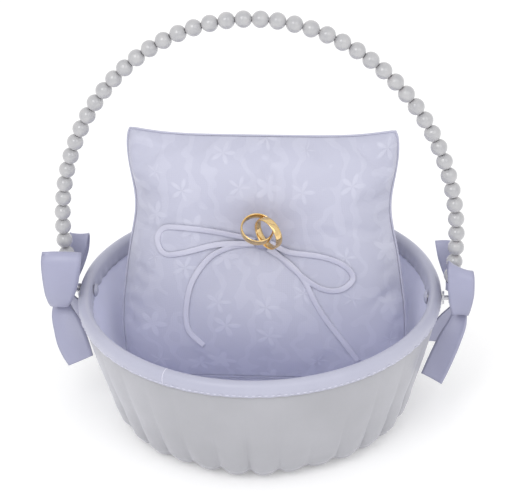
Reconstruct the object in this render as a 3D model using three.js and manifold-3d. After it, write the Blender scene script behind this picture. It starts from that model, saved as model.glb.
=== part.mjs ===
// Flower girl basket: a ribbed satin bowl, a swinging pearl handle with a ribbon bow at each foot,
// and a lift-out ring pillow. Millimetres, +Z up, origin at the middle of the underside.
import * as THREE from 'three';
import { mergeVertices } from 'three/addons/utils/BufferGeometryUtils.js';
import Module from 'manifold-3d';

const wasm = await Module();
wasm.setup();

// ---- driving dimensions ----
const GAP = 0.3;              // clearance between touching pieces
const RIM_HEIGHT = 70;
const FABRIC = 0.9;           // satin with its backing
const CORE = 1.5;             // moulded tub wall
const RIBS = 32;
const RIB_DEPTH = 0.8;
const BASE_DISC_RADIUS = 47;
// outer profile of the covered bowl: height, radius
const PROFILE = [[0, 66], [3, 71.5], [8, 76.5], [18, 81], [36, 86.4], [54, 90.7], [66, 92.4]];
const ROUND = 48;             // sides of the bowl's plain rings
const WALL_TOP = 66;
const BAND_BOTTOM = 61;
const PIVOT_Z = 64;

const ARCH_HALF_WIDTH = 100.4;
const ARCH_HALF_HEIGHT = 117.8;
const ARCH_CENTRE_Z = 98.6;
const FIRST_PEARL_Z = 77.5;
const PEARL = 8;
const PEARLS_PER_STRAND = 16;
const WIRE = 1.6;
const EYE_X = 97.5;           // inner face of the wire's eye
const EYE_THICKNESS = 1.4;
const EYE_RADIUS = 2.9;
const EYE_STEM = 2.2;
const EYE_STEM_TALL = 5.5;
const STUD_RADIUS = 1.2;
const STUD_HEAD_X = 99.2;

const PILLOW = { half: 70, halfTall: 71.5, waist: 4.2, belly: 4.6, dip: 0.075, thick: 44, edge: 1.6, x: 1, y: 12,
  z: 78 };
const TUFT = { x: 0, y: 15.5, depth: 0.3, spread: 8 };
const PILLOW_LEAN = THREE.MathUtils.degToRad(11.5);
const PILLOW_RIBBON = 3.6;    // width of the narrow ribbon
const BOW_RIBBON = { width: 14, thick: 0.9 };
const BOW_NEAR = 95.4;        // side of a bow that faces the bowl
const BOW_FAR = 108.6;

// ---- materials ----
const satin = () => new THREE.MeshStandardMaterial({ color: 0xc6c6da, roughness: 0.45, metalness: 0 });
const cotton = () => new THREE.MeshStandardMaterial({ color: 0xd2d2d8, roughness: 0.8, metalness: 0 });
const pearl = () => new THREE.MeshStandardMaterial({ color: 0xd8d8da, roughness: 0.2, metalness: 0 });
const steel = () => new THREE.MeshStandardMaterial({ color: 0xb8b8bc, roughness: 0.3, metalness: 1 });
const gold = () => new THREE.MeshStandardMaterial({ color: 0xd4a860, roughness: 0.2, metalness: 1 });
const board = () => new THREE.MeshStandardMaterial({ color: 0xe4e4e4, roughness: 0.7, metalness: 0 });

const basket = new THREE.Group();
const handle = new THREE.Group();
const pillow = new THREE.Group();
pillow.position.set(PILLOW.x, PILLOW.y, PILLOW.z);
pillow.rotation.x = Math.PI / 2 - PILLOW_LEAN;   // local X right, Y up the lean, Z out of the front

function add(group, name, geometry, material) {
  const mesh = new THREE.Mesh(geometry, material);
  mesh.name = name;
  group.add(mesh);
  return mesh;
}

// ---- helpers ----
function welded(geometry) {
  const bare = geometry.clone();
  for (const key of Object.keys(bare.attributes)) {
    if (key !== 'position') bare.deleteAttribute(key);
  }
  return mergeVertices(bare, 1e-3);
}

function solid(geometry) {
  const g = welded(geometry);
  return new wasm.Manifold(new wasm.Mesh({
    numProp: 3,
    vertProperties: new Float32Array(g.attributes.position.array),
    triVerts: new Uint32Array(g.index.array),
  }));
}

function fromSolid(body) {
  const mesh = body.getMesh();
  const points = new Float32Array((mesh.vertProperties.length / mesh.numProp) * 3);
  for (let i = 0; i < points.length / 3; i++) {
    for (let k = 0; k < 3; k++) points[3 * i + k] = mesh.vertProperties[mesh.numProp * i + k];
  }
  const g = new THREE.BufferGeometry();
  g.setAttribute('position', new THREE.BufferAttribute(points, 3));
  g.setIndex(new THREE.BufferAttribute(new Uint32Array(mesh.triVerts), 1));
  g.computeVertexNormals();
  return g;
}

function lathe(points, segments) {
  const profile = points.map(([r, z]) => new THREE.Vector2(r, z));
  return new THREE.LatheGeometry(profile, segments).rotateX(Math.PI / 2);
}

// closed cross-section (counter-clockwise, radius then height) swept right round the Z axis
function ring(points, segments) {
  return lathe([...points, points[0]], segments);
}

function cylinderX(radius, x0, x1, z, segments = 16) {
  const g = new THREE.CylinderGeometry(radius, radius, x1 - x0, segments).rotateZ(-Math.PI / 2);
  return g.translate((x0 + x1) / 2, 0, z);
}

function sweep(path, outline, steps) {
  return new THREE.ExtrudeGeometry(outline, { extrudePath: path, steps, bevelEnabled: false });
}

function roundShape(radius, sides) {
  const shape = new THREE.Shape();
  for (let i = 0; i < sides; i++) {
    const a = (2 * Math.PI * i) / sides;
    if (i === 0) shape.moveTo(radius, 0);
    else shape.lineTo(radius * Math.cos(a), radius * Math.sin(a));
  }
  shape.closePath();
  return shape;
}

function outerRadius(z) {
  for (let i = 1; i < PROFILE.length; i++) {
    const [z0, r0] = PROFILE[i - 1];
    const [z1, r1] = PROFILE[i];
    if (z <= z1) return r0 + ((r1 - r0) * (z - z0)) / (z1 - z0);
  }
  return PROFILE[PROFILE.length - 1][1];
}

// wall between two inward offsets of the bowl's outer profile, from a floor height up to the top
function wallSection(outside, inside, from, top) {
  const heights = [from, ...PROFILE.map(([z]) => z).filter((z) => z > from && z < top), top];
  const outer = heights.map((z) => [outerRadius(z) - outside, z]);
  const inner = heights.map((z) => [outerRadius(z) - inside, z]).reverse();
  return { outer, inner };
}

const studHole = () => solid(cylinderX(STUD_RADIUS + GAP, -110, 110, PIVOT_Z));
function drilled(geometry) {
  return fromSolid(solid(geometry).subtract(studHole()));
}

// ---- bowl ----
function outerCover() {
  const under = outerRadius(FABRIC) - FABRIC;
  const { outer, inner } = wallSection(0, FABRIC, 0, WALL_TOP);
  inner.pop();
  const section = [[BASE_DISC_RADIUS + GAP, 0], ...outer, ...inner, [under, FABRIC],
    [BASE_DISC_RADIUS + GAP, FABRIC]];
  const g = welded(ring(section, RIBS * 2));
  const p = g.attributes.position;
  for (let i = 0; i < p.count; i++) {
    const x = p.getX(i);
    const y = p.getY(i);
    const r = Math.hypot(x, y);
    const z = p.getZ(i);
    if (r < outerRadius(z) - FABRIC / 2) continue;
    const valley = 0.5 + 0.5 * Math.cos(RIBS * Math.atan2(y, x));
    const fade = THREE.MathUtils.clamp(1 - z / 44, 0, 1);
    const cut = RIB_DEPTH * valley * fade;
    p.setX(i, x * (1 - cut / r));
    p.setY(i, y * (1 - cut / r));
  }
  return drilled(g);
}
add(basket, 'outer_cover', outerCover(), satin());

const baseDisc = [[0, 0], [BASE_DISC_RADIUS, 0], [BASE_DISC_RADIUS, FABRIC], [0, FABRIC]];
add(basket, 'base_disc', lathe(baseDisc, ROUND), satin());

function tubCore() {
  const floor = FABRIC + GAP;
  const { outer, inner } = wallSection(FABRIC + GAP, FABRIC + GAP + CORE, floor, WALL_TOP);
  const innerWall = inner.filter(([, z]) => z > floor + CORE + 1);
  const innerFoot = outerRadius(floor + CORE) - FABRIC - GAP - CORE;
  const section = [[0, floor], ...outer, ...innerWall, [innerFoot, floor + CORE], [0, floor + CORE]];
  return drilled(lathe(section, ROUND));
}
add(basket, 'tub_core', tubCore(), board());

const FLOOR_TOP = FABRIC + GAP + CORE;
function lining() {
  const near = FABRIC + CORE + 2 * GAP;
  const { outer, inner } = wallSection(near, near + FABRIC, FLOOR_TOP + GAP, WALL_TOP);
  return drilled(ring([...outer, ...inner], ROUND));
}
add(basket, 'inner_lining', lining(), satin());

const padRadius = outerRadius(FLOOR_TOP + GAP) - 2 * FABRIC - CORE - 4 * GAP - 1;
const PAD_THICK = 1.4;
add(basket, 'floor_pad', lathe([[0, FLOOR_TOP + GAP], [padRadius, FLOOR_TOP + GAP],
  [padRadius, FLOOR_TOP + GAP + PAD_THICK], [0, FLOOR_TOP + GAP + PAD_THICK]], ROUND), satin());

// folded band over the top edge, with a hoop inside the fold
const INNER_FACE = 2 * FABRIC + CORE + 2 * GAP;
const BAND = 0.9;             // thickness of the folded band
const BULGE = 0.3;            // how far the fold swells past its lower edges
const BAND_OUT = GAP + BAND;
const BAND_IN = INNER_FACE + GAP + BAND;
function rimBand() {
  const r = (z, offset) => outerRadius(z) + offset;
  const low = BAND_BOTTOM;
  const top = WALL_TOP;
  const shoulder = RIM_HEIGHT - 1.4;
  const under = RIM_HEIGHT - BAND - 0.2;
  const section = [
    [r(low, GAP), low], [r(low, BAND_OUT), low], [r(top, BAND_OUT + BULGE), top],
    [r(top, BAND_OUT), shoulder], [r(top, -BAND), RIM_HEIGHT],
    [r(top, -INNER_FACE + BAND), RIM_HEIGHT], [r(top, -BAND_IN), shoulder],
    [r(top, -BAND_IN - BULGE), top], [r(low, -BAND_IN), low], [r(low, -INNER_FACE - GAP), low],
    [r(top, -INNER_FACE - GAP), top + GAP], [r(top, -INNER_FACE), under],
    [r(top, 0), under], [r(top, GAP), top + GAP]];
  return drilled(ring(section, ROUND));
}
add(basket, 'rim_band', rimBand(), satin());

const HOOP_RADIUS = 1;
const hoop = new THREE.TorusGeometry(outerRadius(WALL_TOP) - INNER_FACE / 2, HOOP_RADIUS, 6, ROUND);
hoop.translate(0, 0, WALL_TOP + GAP + HOOP_RADIUS);
add(basket, 'rim_hoop', hoop, steel());

// ---- handle pivots ----
const HEAD_RADIUS = 3;
const WASHER_THICK = 1;
function stud(side) {
  const inside = outerRadius(PIVOT_Z) - BAND_IN - BULGE;
  const shank = solid(cylinderX(STUD_RADIUS, inside - 1, STUD_HEAD_X + 0.5, PIVOT_Z));
  const head = solid(cylinderX(HEAD_RADIUS, STUD_HEAD_X, STUD_HEAD_X + 1, PIVOT_Z));
  const tail = solid(cylinderX(HEAD_RADIUS, inside - 1.4, inside - GAP, PIVOT_Z));
  const body = shank.add(head).add(tail);
  return fromSolid(side < 0 ? body.rotate([0, 0, 180]) : body);
}

function washer(side) {
  const x = outerRadius(WALL_TOP) + BAND_OUT + BULGE + GAP;
  const body = solid(cylinderX(HEAD_RADIUS + 0.4, x, x + WASHER_THICK, PIVOT_Z)).subtract(studHole());
  return fromSolid(side < 0 ? body.rotate([0, 0, 180]) : body);
}

function eye(side) {
  const shape = new THREE.Shape();
  shape.moveTo(EYE_STEM / 2, EYE_STEM_TALL);
  shape.lineTo(-EYE_STEM / 2, EYE_STEM_TALL);
  const lean = Math.asin(EYE_STEM / 2 / EYE_RADIUS);
  shape.absarc(0, 0, EYE_RADIUS, Math.PI / 2 + lean, 2.5 * Math.PI - lean, false);
  shape.closePath();
  const hole = new THREE.Path();
  hole.absarc(0, 0, STUD_RADIUS + GAP, 0, 2 * Math.PI, false);
  shape.holes.push(hole);
  const g = new THREE.ExtrudeGeometry(shape, { depth: EYE_THICKNESS, bevelEnabled: false, curveSegments: 8 });
  g.rotateX(Math.PI / 2).rotateZ(Math.PI / 2);
  const x = side < 0 ? -EYE_X - EYE_THICKNESS : EYE_X;
  return g.translate(x, 0, PIVOT_Z);
}

for (const [name, side] of [['left', -1], ['right', 1]]) {
  add(basket, `pivot_stud_${name}`, stud(side), steel());
  add(basket, `pivot_washer_${name}`, washer(side), steel());
  add(handle, `handle_eye_${name}`, eye(side), steel());
}

// ---- handle arch ----
const startAngle = Math.asin((FIRST_PEARL_Z - PEARL / 2 - ARCH_CENTRE_Z) / ARCH_HALF_HEIGHT);

// the arch's middle line from the foot of the first pearl to the foot of the last, or a part of it
class Arch extends THREE.Curve {
  constructor(from = 0, to = 1) {
    super();
    this.from = from;
    this.to = to;
  }

  getPoint(t, target = new THREE.Vector3()) {
    const share = this.from + t * (this.to - this.from);
    const angle = startAngle + share * (Math.PI - 2 * startAngle);
    const x = -ARCH_HALF_WIDTH * Math.cos(angle);
    return target.set(x, 0, ARCH_CENTRE_Z + ARCH_HALF_HEIGHT * Math.sin(angle));
  }
}

const EYE_TOP = PIVOT_Z + EYE_STEM_TALL;
function handleWire() {
  const foot = EYE_X + EYE_THICKNESS / 2;
  const left = new THREE.Vector3(-foot, 0, EYE_TOP + GAP);
  const right = new THREE.Vector3(foot, 0, EYE_TOP + GAP);
  const path = new THREE.CatmullRomCurve3([left, ...new Arch().getSpacedPoints(40), right]);
  return sweep(path, roundShape(WIRE / 2, 6), 50);
}
add(handle, 'handle_wire', handleWire(), steel());

// threaded pearls: a bored tube whose outside swells to a pearl between one thread gap and the next
const STEPS_PER_PEARL = 4;
function pearlStrand(from, to) {
  const bore = WIRE / 2 + GAP + 0.3;
  const neck = bore + 0.7;
  const shape = roundShape(neck, 8);
  shape.holes.push(new THREE.Path(roundShape(bore, 4).getPoints()));
  const path = new Arch(from, to);
  const steps = PEARLS_PER_STRAND * STEPS_PER_PEARL;
  const centres = path.getSpacedPoints(steps);
  const pitch = path.getLength() / PEARLS_PER_STRAND;
  const g = welded(sweep(path, shape, steps));
  const p = g.attributes.position;
  const point = new THREE.Vector3();
  for (let i = 0; i < p.count; i++) {
    point.fromBufferAttribute(p, i);
    let nearest = 0;
    for (let k = 1; k <= steps; k++) {
      if (centres[k].distanceToSquared(point) < centres[nearest].distanceToSquared(point)) nearest = k;
    }
    const away = point.sub(centres[nearest]);
    if (away.length() < (bore + neck) / 2) continue;
    const fromGap = (nearest % STEPS_PER_PEARL) / STEPS_PER_PEARL;
    const along = Math.min(PEARL / 2, Math.abs(fromGap - 0.5) * pitch);
    const radius = Math.max(neck, Math.sqrt((PEARL / 2) ** 2 - along ** 2));
    away.setLength(radius).add(centres[nearest]);
    p.setXYZ(i, away.x, away.y, away.z);
  }
  return g;
}

const STRANDS = ['left', 'top', 'right'];
const strandGap = GAP / new Arch().getLength();
STRANDS.forEach((name, i) => {
  const from = i / STRANDS.length + (i > 0 ? strandGap / 2 : 0);
  const to = (i + 1) / STRANDS.length - (i < STRANDS.length - 1 ? strandGap / 2 : 0);
  add(handle, `pearl_strand_${name}`, pearlStrand(from, to), pearl());
});

// ---- ribbon bows at the handle's feet ----
const KNOT = { x: STUD_HEAD_X + 6, deep: 4.4, wide: 7, tall: 6.4, above: 0.6 };   // puffed ellipsoid
const WRAP = { z: PIVOT_Z + 7.5, deep: 8.6, wide: 5.4, tall: 2.2 };               // turn round the wire
function bowKnot(side) {
  const leg = EYE_X + EYE_THICKNESS / 2 + 0.1;
  const lump = new THREE.SphereGeometry(1, 12, 8).scale(KNOT.deep, KNOT.wide, KNOT.tall);
  lump.translate(KNOT.x, 0, PIVOT_Z + KNOT.above);
  const wrap = new THREE.BoxGeometry(WRAP.deep, WRAP.wide, WRAP.tall).translate(leg + 1.9, 0, WRAP.z);
  const neck = new THREE.BoxGeometry(2, 4.6, 5).translate(KNOT.x - 2, 0, WRAP.z - 1.5);
  const wireHole = new THREE.CylinderGeometry(WIRE / 2 + 0.5, WIRE / 2 + 0.5, 8, 12).rotateX(Math.PI / 2);
  wireHole.translate(leg, 0, WRAP.z);
  const body = solid(lump).add(solid(wrap)).add(solid(neck)).subtract(solid(wireHole));
  return fromSolid(side < 0 ? body.rotate([0, 0, 180]) : body);
}

// closed loop of ribbon: a teardrop band standing on edge, widening upwards to lean in over the rim
function ribbonLoop(outline, side, lean) {
  const centre = new THREE.CatmullRomCurve3(outline.map(([y, z]) => new THREE.Vector3(y, z, 0)), true);
  const points = centre.getPoints(28).slice(0, -1);
  const half = BOW_RIBBON.thick / 2;
  const face = (sign) => points.map((p, i) => {
    const q = points[(i + 1) % points.length];
    const o = points[(i + points.length - 1) % points.length];
    const t = new THREE.Vector2(q.x - o.x, q.y - o.y).normalize();
    return new THREE.Vector2(p.x + sign * half * t.y, p.y - sign * half * t.x);
  });
  const shape = new THREE.Shape(face(1));
  shape.holes.push(new THREE.Path(face(-1)));
  const g = new THREE.ExtrudeGeometry(shape, { depth: 1, bevelEnabled: false });
  g.rotateX(Math.PI / 2).rotateZ(Math.PI / 2);
  const p = g.attributes.position;
  for (let i = 0; i < p.count; i++) {
    const rise = THREE.MathUtils.clamp((p.getZ(i) - RIM_HEIGHT - 2) / 20, 0, 1);
    const near = BOW_NEAR - lean * rise;
    const isFar = (p.getX(i) > 0.5) === (side > 0);
    p.setX(i, side * (isFar ? BOW_FAR - (1 - rise) * 2 : near));
  }
  return g;
}

// y, z of each loop's middle line; the ribbon's width runs along X
const FRONT_LOOP = [[-8.6, 60], [-8.2, 74], [-9.5, 88], [-13.5, 93.4], [-18, 88], [-18.6, 74], [-14, 60]];
const REAR_LOOP = [[12, 62], [17, 72], [17.5, 86], [12, 92], [7.8, 87], [7.6, 74], [8.8, 63]];

function ribbonTail(points) {
  const path = new THREE.CatmullRomCurve3(points.map((p) => new THREE.Vector3(...p)));
  const w = BOW_RIBBON.width / 2;
  const t = BOW_RIBBON.thick / 2;
  const shape = new THREE.Shape([[-t, -w], [t, -w], [t, w], [-t, w]].map((p) => new THREE.Vector2(...p)));
  return sweep(path, shape, 16);
}

for (const [name, side] of [['left', -1], ['right', 1]]) {
  add(handle, `bow_knot_${name}`, bowKnot(side), satin());
  add(handle, `bow_front_loop_${name}`, ribbonLoop(FRONT_LOOP, side, 4.6), satin());
  add(handle, `bow_rear_loop_${name}`, ribbonLoop(REAR_LOOP, side, 2), satin());
  const s = side;
  const front = [[s * 102, -7, 56], [s * 101.5, -10, 48], [s * 97, -12, 40], [s * 91, -14, 31]];
  const rear = [[s * 102, 7, 56], [s * 101, 10, 47], [s * 96, 12, 36], [s * 89.5, 13, 25]];
  add(handle, `bow_front_tail_${name}`, ribbonTail(front), satin());
  add(handle, `bow_rear_tail_${name}`, ribbonTail(rear), satin());
}

// ---- ring pillow, in its own leaning frame ----
// distance of the cover from the pillow's middle plane, at a place on it
function crown(x, y, thick, edge) {
  const u = x / PILLOW.half;
  const v = y / PILLOW.halfTall;
  const dome = Math.pow(Math.max(0, (1 - u * u) * (1 - v * v)), 0.42);
  const fromTuft = ((x - TUFT.x) ** 2 + (y - TUFT.y) ** 2) / (2 * TUFT.spread ** 2);
  return edge / 2 + (thick / 2 - edge / 2) * dome * (1 - TUFT.depth * Math.exp(-fromTuft));
}

// half the pillow's width at a height v of -1 to 1: a waist above the bowl's rim and a belly inside it
function pillowHalf(v) {
  const waist = PILLOW.waist * Math.exp(-(((v - 0.42) / 0.28) ** 2));
  return PILLOW.half - waist + PILLOW.belly * Math.exp(-(((v + 0.5) / 0.42) ** 2));
}

function pillowSolid(inset) {
  const tall = PILLOW.halfTall - inset;
  const thick = PILLOW.thick - 2 * inset;
  const edge = Math.max(0.5, PILLOW.edge - inset);
  const g = welded(new THREE.BoxGeometry(2, 2, 2, 14, 14, 1));
  const p = g.attributes.position;
  for (let i = 0; i < p.count; i++) {
    const u = Math.sin((p.getX(i) * Math.PI) / 2);
    const v = Math.sin((p.getY(i) * Math.PI) / 2);
    const x = u * (pillowHalf(v) - inset);
    const y = v * tall * (1 - PILLOW.dip * (1 - Math.abs(u) ** 5));
    p.setXYZ(i, x, y, Math.sign(p.getZ(i)) * crown(u * PILLOW.half, v * PILLOW.halfTall, thick, edge));
  }
  return solid(g);
}

const COVER = 1.2;
function halfSpace(sign) {
  const g = new THREE.BoxGeometry(200, 200, 60).translate(0, 0, sign * (30 + GAP / 2));
  return solid(g);
}
const shell = pillowSolid(0).subtract(pillowSolid(COVER));
add(pillow, 'pillow_front', fromSolid(shell.intersect(halfSpace(1))), satin());
add(pillow, 'pillow_back', fromSolid(shell.intersect(halfSpace(-1))), satin());
add(pillow, 'pillow_filling', fromSolid(pillowSolid(COVER + GAP + 0.1)), cotton());

// a narrow ribbon laid on the pillow's front along x, y places, at one height above the cover
function pillowRibbon(points, lift) {
  const front = ([x, y]) => new THREE.Vector3(x, y, crown(x, y, PILLOW.thick, PILLOW.edge) + lift);
  const path = new THREE.CatmullRomCurve3(points.map(front), false, 'centripetal');
  return sweep(path, roundShape(PILLOW_RIBBON / 3, 8), 16);
}

const LEFT_LOOP = [[-5, 15.4], [-15, 18.6], [-29, 21.6], [-42, 22.3], [-50, 20.4], [-53, 14.4], [-49, 7.4],
  [-37, 9.5], [-21, 12.6], [-5, 12]];
const RIGHT_LOOP = [[7, 14], [14, 11.4], [26, 9.6], [35.6, 7.6], [44, 3.3], [47.8, -3.3], [41.8, -9],
  [31.6, -8.6], [20, -1.4], [11.3, 5.6], [7, 10.6]];
const LEFT_TAIL = [[-4, 12.4], [-13.6, 12.6], [-23.4, 8.8], [-30.2, 1.5], [-35.1, -7], [-37.5, -16.6],
  [-38.3, -26.8], [-36.5, -34.7], [-29.3, -41.9]];
const RIGHT_TAIL = [[5, 9], [13.9, 4.4], [22.5, -4.1], [28.6, -16.2], [35.2, -27.1], [43.2, -38.9], [49.4, -49]];
add(pillow, 'pillow_ribbon_loop_left', pillowRibbon(LEFT_LOOP, 5.2), satin());
add(pillow, 'pillow_ribbon_loop_right', pillowRibbon(RIGHT_LOOP, 5.4), satin());
add(pillow, 'pillow_ribbon_tail_left', pillowRibbon(LEFT_TAIL, 1.9), satin());
add(pillow, 'pillow_ribbon_tail_right', pillowRibbon(RIGHT_TAIL, 2.9), satin());

const TIE = { x: 1, y: 12.6, lift: 5 };
const tieHeight = crown(TIE.x, TIE.y, PILLOW.thick, PILLOW.edge) + TIE.lift;
const tie = new THREE.SphereGeometry(1, 10, 8).scale(4.2, 3.2, 2.4).translate(TIE.x, TIE.y, tieHeight);
add(pillow, 'pillow_ribbon_knot', tie, satin());

const RING = { outer: 8.6, inner: 7.5, width: 3.2 };
// a ring with its middle at x, y, z in the pillow's frame, its axis pointing along the given direction
function weddingRing({ x, y, z, axis }) {
  const w = RING.width / 2;
  const mid = (RING.outer + RING.inner) / 2;
  const g = ring([[RING.inner, -w], [mid, -w], [RING.outer, -w * 0.5], [RING.outer, w * 0.5], [mid, w],
    [RING.inner, w]], 28);
  const up = new THREE.Vector3(0, 0, 1);
  g.applyQuaternion(new THREE.Quaternion().setFromUnitVectors(up, new THREE.Vector3(...axis).normalize()));
  return g.translate(x, y, z);
}
const RING_LEFT = { x: -0.2, y: 25, z: 28.4, axis: [0.15, 0.75, 0.64] };
const RING_RIGHT = { x: 5.2, y: 22.6, z: 27.2, axis: [-0.69, -0.24, 0.68] };
add(pillow, 'ring_left', weddingRing(RING_LEFT), gold());
add(pillow, 'ring_right', weddingRing(RING_RIGHT), gold());

basket.add(handle, pillow);
export default basket;
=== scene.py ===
"""Flower girl basket: satin bowl, pearl handle with a bow at each foot, and a tied ring pillow."""

import math
import random

import bmesh
import bpy
import numpy as np
from mathutils import Matrix, Vector
from mathutils.bvhtree import BVHTree

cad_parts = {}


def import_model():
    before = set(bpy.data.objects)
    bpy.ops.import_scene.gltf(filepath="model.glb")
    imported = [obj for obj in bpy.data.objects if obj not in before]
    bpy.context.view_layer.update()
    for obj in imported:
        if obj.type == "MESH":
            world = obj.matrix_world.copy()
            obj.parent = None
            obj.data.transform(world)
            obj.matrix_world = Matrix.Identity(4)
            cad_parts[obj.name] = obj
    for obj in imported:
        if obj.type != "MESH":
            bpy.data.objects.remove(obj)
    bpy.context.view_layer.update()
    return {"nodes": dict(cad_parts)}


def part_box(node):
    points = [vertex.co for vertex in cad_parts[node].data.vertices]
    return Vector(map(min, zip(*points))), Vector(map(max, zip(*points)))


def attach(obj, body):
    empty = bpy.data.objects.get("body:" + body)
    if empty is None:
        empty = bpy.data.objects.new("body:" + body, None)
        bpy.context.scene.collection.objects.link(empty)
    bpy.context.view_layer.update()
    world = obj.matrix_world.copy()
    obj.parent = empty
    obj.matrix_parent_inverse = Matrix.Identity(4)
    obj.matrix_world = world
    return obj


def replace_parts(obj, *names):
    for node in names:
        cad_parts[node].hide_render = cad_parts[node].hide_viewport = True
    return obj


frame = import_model()
scene = bpy.context.scene
MM = 0.001
random.seed(7)

# ---------------------------------------------------------------- camera
RIM_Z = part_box("rim_band")[1].z
VIEW_ELEVATION = math.radians(30.67)
VIEW_TURN = math.radians(5.6)        # the camera stands a little to the right of the pillow
VIEW_ROLL = math.radians(-1.64)
VIEW_DISTANCE = 0.90
VIEW_LENS = 121.1                    # focal length in millimetres
AIM_RISE = 0.0174                    # the aim passes this far above the middle of the rim


def make_camera():
    out = Vector((
        math.cos(VIEW_ELEVATION) * math.sin(VIEW_TURN),
        -math.cos(VIEW_ELEVATION) * math.cos(VIEW_TURN),
        math.sin(VIEW_ELEVATION),
    ))
    data = bpy.data.cameras.new("camera")
    data.sensor_width = 36
    data.lens = VIEW_LENS
    data.clip_start = 0.05
    data.clip_end = 20
    camera = bpy.data.objects.new("camera", data)
    scene.collection.objects.link(camera)
    rim_middle = Vector((0, 0, RIM_Z))
    camera.location = rim_middle + out * VIEW_DISTANCE
    turn = (-out).to_track_quat("-Z", "Y").to_matrix()
    aim = rim_middle + turn @ Vector((0, AIM_RISE, 0))
    look = (aim - camera.location).to_track_quat("-Z", "Y").to_matrix().to_4x4()
    camera.matrix_world = Matrix.Translation(camera.location) @ look @ Matrix.Rotation(VIEW_ROLL, 4, "Z")
    scene.camera = camera


make_camera()


# ---------------------------------------------------------------- mesh helpers
def smooth_object(name, verts, faces, body=None, material=None, uvs=None):
    mesh = bpy.data.meshes.new(name)
    mesh.from_pydata([tuple(v) for v in verts], [], faces)
    mesh.validate()
    mesh.polygons.foreach_set("use_smooth", [True] * len(mesh.polygons))
    if uvs is not None:
        layer = mesh.uv_layers.new(name="UVMap")
        index = np.zeros(len(mesh.loops), int)
        mesh.loops.foreach_get("vertex_index", index)
        layer.data.foreach_set("uv", np.asarray(uvs, np.float32)[index].ravel())
    obj = bpy.data.objects.new(name, mesh)
    scene.collection.objects.link(obj)
    if material:
        mesh.materials.append(material)
    if body:
        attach(obj, body)
    return obj


def grid_faces(rows, cols, wrap_rows=False, wrap_cols=False):
    faces = []
    for i in range(rows if wrap_rows else rows - 1):
        for j in range(cols if wrap_cols else cols - 1):
            a = i * cols + j
            b = i * cols + (j + 1) % cols
            c = ((i + 1) % rows) * cols + (j + 1) % cols
            d = ((i + 1) % rows) * cols + j
            faces.append((a, b, c, d))
    return faces


def outward(obj):
    """Turns the faces of a closed mesh outwards."""
    bm = bmesh.new()
    bm.from_mesh(obj.data)
    bmesh.ops.recalc_face_normals(bm, faces=bm.faces)
    bm.to_mesh(obj.data)
    bm.free()
    return obj


def bowl_radius(z):
    """The covered bowl's outer radius at a height, in millimetres."""
    heights = [0, 3, 8, 18, 36, 54, 66, 70]
    radii = [66, 71.5, 76.5, 81, 86.4, 90.7, 92.4, 92.8]
    return np.interp(z, heights, radii)


def smooth_noise(count, waves, seed):
    """A periodic smooth random wave around a ring, about -1 to 1."""
    rng = np.random.default_rng(seed)
    a = np.linspace(0, 2 * np.pi, count, endpoint=False)
    total = np.zeros(count)
    for k in waves:
        total += rng.normal(0, 1) * np.cos(k * a) + rng.normal(0, 1) * np.sin(k * a)
    return total / (1.6 * math.sqrt(len(waves)))


# ---------------------------------------------------------------- materials
def material(name, color, rough, metal=0.0):
    mat = bpy.data.materials.new(name)
    mat.use_nodes = True
    tree = mat.node_tree
    shader = tree.nodes["Principled BSDF"]
    shader.inputs["Base Color"].default_value = (*color, 1)
    shader.inputs["Roughness"].default_value = rough
    shader.inputs["Metallic"].default_value = metal
    return mat, tree, shader


def node(tree, kind, **inputs):
    made = tree.nodes.new(kind)
    for key, value in inputs.items():
        made.inputs[key.replace("_", " ")].default_value = value
    return made


def ramp(tree, factor, stops):
    made = tree.nodes.new("ShaderNodeValToRGB")
    elements = made.color_ramp.elements
    while len(elements) < len(stops):
        elements.new(0.5)
    for element, (at, color) in zip(elements, stops):
        element.position = at
        element.color = (*color, 1)
    tree.links.new(factor, made.inputs["Fac"])
    return made.outputs["Color"]


def bump(tree, shader, heights):
    """Stacks height fields, each (socket, strength, distance in metres), on the shader's normal."""
    previous = None
    for socket, strength, distance in heights:
        made = node(tree, "ShaderNodeBump", Strength=strength, Distance=distance)
        tree.links.new(socket, made.inputs["Height"])
        if previous:
            tree.links.new(previous, made.inputs["Normal"])
        previous = made.outputs["Normal"]
    tree.links.new(previous, shader.inputs["Normal"])


def coordinates(tree, uv=False, scale=(1, 1, 1)):
    texture = tree.nodes.new("ShaderNodeTexCoord")
    mapping = tree.nodes.new("ShaderNodeMapping")
    mapping.inputs["Scale"].default_value = scale
    tree.links.new(texture.outputs["UV" if uv else "Object"], mapping.inputs["Vector"])
    return mapping.outputs["Vector"]


def noise(tree, vector, scale, detail=3.0, rough=0.5):
    made = node(tree, "ShaderNodeTexNoise", Scale=scale, Detail=detail, Roughness=rough)
    tree.links.new(vector, made.inputs["Vector"])
    return made.outputs["Fac"]


def weave(tree, vector, pitch):
    """Crossed thread ridges, one each pitch metres (or UV units)."""
    sockets = []
    for direction in ("X", "Y"):
        wave = node(tree, "ShaderNodeTexWave", Scale=0.314 / pitch * 0.5, Distortion=0.6)
        wave.inputs["Detail Scale"].default_value = 1.2
        wave.wave_type = "BANDS"
        wave.bands_direction = direction
        tree.links.new(vector, wave.inputs["Vector"])
        sockets.append(wave.outputs["Fac"])
    add = tree.nodes.new("ShaderNodeMath")
    add.operation = "ADD"
    tree.links.new(sockets[0], add.inputs[0])
    tree.links.new(sockets[1], add.inputs[1])
    return add.outputs["Value"]


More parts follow.
